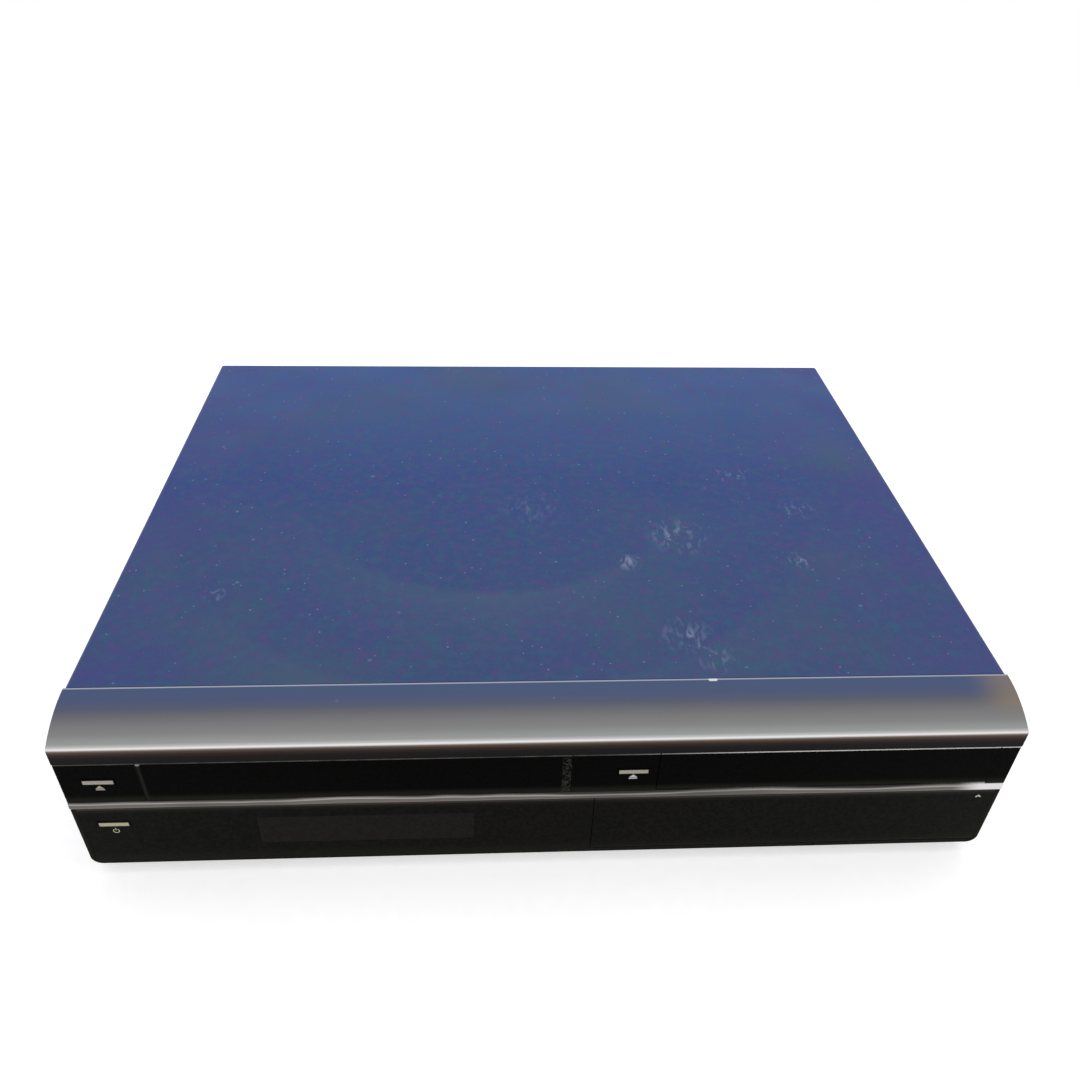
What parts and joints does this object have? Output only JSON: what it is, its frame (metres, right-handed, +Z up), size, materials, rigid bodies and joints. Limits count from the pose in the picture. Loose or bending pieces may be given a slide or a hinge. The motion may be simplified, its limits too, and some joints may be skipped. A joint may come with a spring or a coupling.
{
  "type": "blu-ray vcr combo player",
  "caption": "Wide, low home recorder with a sliding disc tray, a flap-fronted cassette slot, a display window and a drop-down door over front sockets.",
  "frame": {"origin": "on the floor under the middle of the set, between the front lip and the tips of the rear sockets", "axes": "+X to the set's right as seen from the front, +Y to the rear, +Z up"},
  "size_m": [0.4324, 0.352, 0.098],
  "materials": {
    "painted_steel_cover": "satin metallic paint",
    "zinc_plated_steel": "plated sheet",
    "bright_steel": "ground or plated",
    "black_steel_screws": "black oxide",
    "metallic_visor": "satin metallic paint on moulded plastic",
    "black_gloss": "polished",
    "silver_trim": "satin metallic paint on moulded plastic",
    "smoked_acrylic": "polished, tinted",
    "black_plastic": "fine moulded grain",
    "grey_plastic": "fine moulded grain",
    "white_plastic": "moulded",
    "circuit_board": "lacquered board",
    "tan_board": "paper laminate board",
    "rubber": "matt",
    "cast_aluminium": "cast and turned"
  },
  "bodies": {
    "cabinet": {"top_cover": "painted_steel_cover", "cover_screws": "black_steel_screws", "bottom_chassis": "zinc_plated_steel", "rear_panel": "zinc_plated_steel", "feet": "black_plastic", "foot_pads": "rubber", "front_visor": "metallic_visor", "front_bezel": "black_plastic", "trim_strip": "silver_trim", "lower_panel": "black_gloss", "display_window": "smoked_acrylic", "display_module": "black_plastic", "front_boards": "tan_board", "jack_panel": "black_plastic", "front_sockets": "grey_plastic", "drive_base": "black_plastic", "tray_motor": "bright_steel", "clamp_bridge": "zinc_plated_steel", "drive_brackets": "zinc_plated_steel", "hard_drive": "cast_aluminium", "deck_plate": "zinc_plated_steel", "basket_guides": "zinc_plated_steel", "lower_drum": "cast_aluminium", "deck_motor": "bright_steel", "tape_heads": "bright_steel", "power_supply": "tan_board", "main_board": "circuit_board", "tuner_board": "circuit_board", "fan_frame": "black_plastic", "rear_panel_sockets": "black_plastic", "mains_inlet": "black_plastic"},
    "access_door": {"access_door": "black_gloss"},
    "cassette_flap": {"cassette_flap": "black_gloss"},
    "cassette_eject_button": {"cassette_eject_button": "black_gloss"},
    "disc_open_button": {"disc_open_button": "black_gloss"},
    "power_button": {"power_button": "black_gloss"},
    "record_key": {"record_key": "grey_plastic"},
    "stop_key": {"stop_key": "grey_plastic"},
    "play_key": {"play_key": "grey_plastic"},
    "tray": {"disc_tray": "black_plastic", "tray_front": "black_gloss"},
    "drive_gear": {"drive_gear": "white_plastic"},
    "pulley_gear": {"pulley_gear": "white_plastic"},
    "clamper": {"clamper": "white_plastic"},
    "traverse": {"traverse": "zinc_plated_steel"},
    "optical_pickup": {"optical_pickup": "black_plastic"},
    "lead_screw": {"lead_screw": "bright_steel"},
    "turntable": {"turntable": "black_plastic"},
    "basket_slider": {"basket_slider": "zinc_plated_steel"},
    "cassette_basket": {"cassette_basket": "zinc_plated_steel"},
    "supply_reel_table": {"supply_reel_table": "white_plastic"},
    "take_up_reel_table": {"take_up_reel_table": "white_plastic"},
    "upper_drum": {"upper_drum": "cast_aluminium"},
    "supply_tape_guide": {"supply_tape_guide": "bright_steel"},
    "take_up_tape_guide": {"take_up_tape_guide": "bright_steel"},
    "capstan": {"capstan": "bright_steel"},
    "pinch_arm": {"pinch_arm": "black_plastic"},
    "cam_gear": {"cam_gear": "white_plastic"},
    "reel_idler": {"reel_idler": "white_plastic"},
    "fan_rotor": {"fan_rotor": "black_plastic"}
  },
  "joints": [
    {"name": "cassette_eject_button_press", "type": "slide", "parent": "cabinet", "child": "cassette_eject_button", "axis": [0, 1, 0], "range_m": [0, 0.0007], "stiffness_N_per_m": 2500},
    {"name": "disc_open_button_press", "type": "slide", "parent": "cabinet", "child": "disc_open_button", "axis": [0, 1, 0], "range_m": [0, 0.0007], "stiffness_N_per_m": 2500},
    {"name": "power_button_press", "type": "slide", "parent": "cabinet", "child": "power_button", "axis": [0, 1, 0], "range_m": [0, 0.0007], "stiffness_N_per_m": 2500},
    {"name": "record_key_press", "type": "slide", "parent": "cabinet", "child": "record_key", "axis": [0, 1, 0], "range_m": [0, 0.0005], "stiffness_N_per_m": 3000},
    {"name": "stop_key_press", "type": "slide", "parent": "cabinet", "child": "stop_key", "axis": [0, 1, 0], "range_m": [0, 0.0005], "stiffness_N_per_m": 3000},
    {"name": "play_key_press", "type": "slide", "parent": "cabinet", "child": "play_key", "axis": [0, 1, 0], "range_m": [0, 0.0005], "stiffness_N_per_m": 3000},
    {"name": "access_door_hinge", "type": "hinge", "parent": "cabinet", "child": "access_door", "pos_m": [0.1173, -0.1741, 0.0127], "axis": [1, 0, 0], "range_deg": [0, 90]},
    {"name": "cassette_flap_hinge", "type": "hinge", "parent": "cabinet", "child": "cassette_flap", "pos_m": [-0.0851, -0.1718, 0.0833], "axis": [1, 0, 0], "range_deg": [0, 88], "stiffness_Nm_per_rad": 0.01},
    {"name": "tray_slide", "type": "slide", "parent": "cabinet", "child": "tray", "axis": [0, -1, 0], "range_m": [0, 0.136]},
    {"name": "drive_gear_spin", "type": "hinge", "parent": "cabinet", "child": "drive_gear", "pos_m": [0.0818, -0.1556, 0.0524], "axis": [0, 0, 1], "range_deg": [0, 866.8]},
    {"name": "pulley_gear_spin", "type": "hinge", "parent": "cabinet", "child": "pulley_gear", "pos_m": [0.0994, -0.1556, 0.0524], "axis": [0, 0, 1], "range_deg": [-2309.8, 0]},
    {"name": "clamper_spin", "type": "hinge", "parent": "cabinet", "child": "clamper", "pos_m": [0.1278, -0.1046, 0.0684], "axis": [0, 0, 1], "continuous": true},
    {"name": "traverse_tilt", "type": "hinge", "parent": "cabinet", "child": "traverse", "pos_m": [0.1278, -0.0206, 0.0441], "axis": [1, 0, 0], "range_deg": [0, 2]},
    {"name": "turntable_spin", "type": "hinge", "parent": "traverse", "child": "turntable", "pos_m": [0.1278, -0.1046, 0.0659], "axis": [0, 0, 1], "continuous": true},
    {"name": "pickup_slide", "type": "slide", "parent": "traverse", "child": "optical_pickup", "axis": [0, 1, 0], "range_m": [0, 0.034]},
    {"name": "lead_screw_spin", "type": "hinge", "parent": "traverse", "child": "lead_screw", "pos_m": [0.1008, -0.0886, 0.0481], "axis": [0, 1, 0], "range_deg": [0, 4081]},
    {"name": "basket_in", "type": "slide", "parent": "cabinet", "child": "basket_slider", "axis": [0, 1, 0], "range_m": [0, 0.03]},
    {"name": "basket_down", "type": "slide", "parent": "basket_slider", "child": "cassette_basket", "axis": [0, 0, -1], "range_m": [0, 0.02]},
    {"name": "supply_reel_table_spin", "type": "hinge", "parent": "cabinet", "child": "supply_reel_table", "pos_m": [-0.1311, -0.1071, 0.0252], "axis": [0, 0, 1], "continuous": true},
    {"name": "take_up_reel_table_spin", "type": "hinge", "parent": "cabinet", "child": "take_up_reel_table", "pos_m": [-0.0391, -0.1071, 0.0252], "axis": [0, 0, 1], "continuous": true},
    {"name": "drum_spin", "type": "hinge", "parent": "cabinet", "child": "upper_drum", "pos_m": [-0.0791, 0.0084, 0.0372], "axis": [0, 0.104, 0.9946], "continuous": true},
    {"name": "cam_gear_turn", "type": "hinge", "parent": "cabinet", "child": "cam_gear", "pos_m": [-0.1551, 0.0324, 0.0252], "axis": [0, 0, 1], "range_deg": [0, 210]},
    {"name": "supply_guide_sweep", "type": "hinge", "parent": "cabinet", "child": "supply_tape_guide", "pos_m": [-0.0791, 0.0084, 0.0252], "axis": [0, 0, 1], "range_deg": [-70, 0]},
    {"name": "take_up_guide_sweep", "type": "hinge", "parent": "cabinet", "child": "take_up_tape_guide", "pos_m": [-0.0791, 0.0084, 0.0252], "axis": [0, 0, 1], "range_deg": [0, 70]},
    {"name": "pinch_arm_swing", "type": "hinge", "parent": "cabinet", "child": "pinch_arm", "pos_m": [-0.0091, -0.0223, 0.0252], "axis": [0, 0, 1], "range_deg": [0, 20]},
    {"name": "capstan_spin", "type": "hinge", "parent": "cabinet", "child": "capstan", "pos_m": [-0.0331, -0.0306, 0.0252], "axis": [0, 0, 1], "continuous": true},
    {"name": "reel_idler_swing", "type": "hinge", "parent": "cabinet", "child": "reel_idler", "pos_m": [-0.0851, -0.1271, 0.0252], "axis": [0, 0, 1], "range_deg": [-14, 14]},
    {"name": "fan_spin", "type": "hinge", "parent": "cabinet", "child": "fan_rotor", "pos_m": [-0.052, 0.151, 0.05], "axis": [0, 1, 0], "continuous": true}
  ],
  "couplings": [
    {"joint": "drive_gear_spin", "follows": "tray_slide", "rad_per_m": 111.11},
    {"joint": "pulley_gear_spin", "follows": "tray_slide", "rad_per_m": -296.3},
    {"joint": "lead_screw_spin", "follows": "pickup_slide", "rad_per_m": 2094.4},
    {"joint": "supply_guide_sweep", "follows": "cam_gear_turn", "ratio": -0.33333},
    {"joint": "take_up_guide_sweep", "follows": "cam_gear_turn", "ratio": 0.33333},
    {"joint": "pinch_arm_swing", "follows": "cam_gear_turn", "ratio": 0.095238}
  ]
}
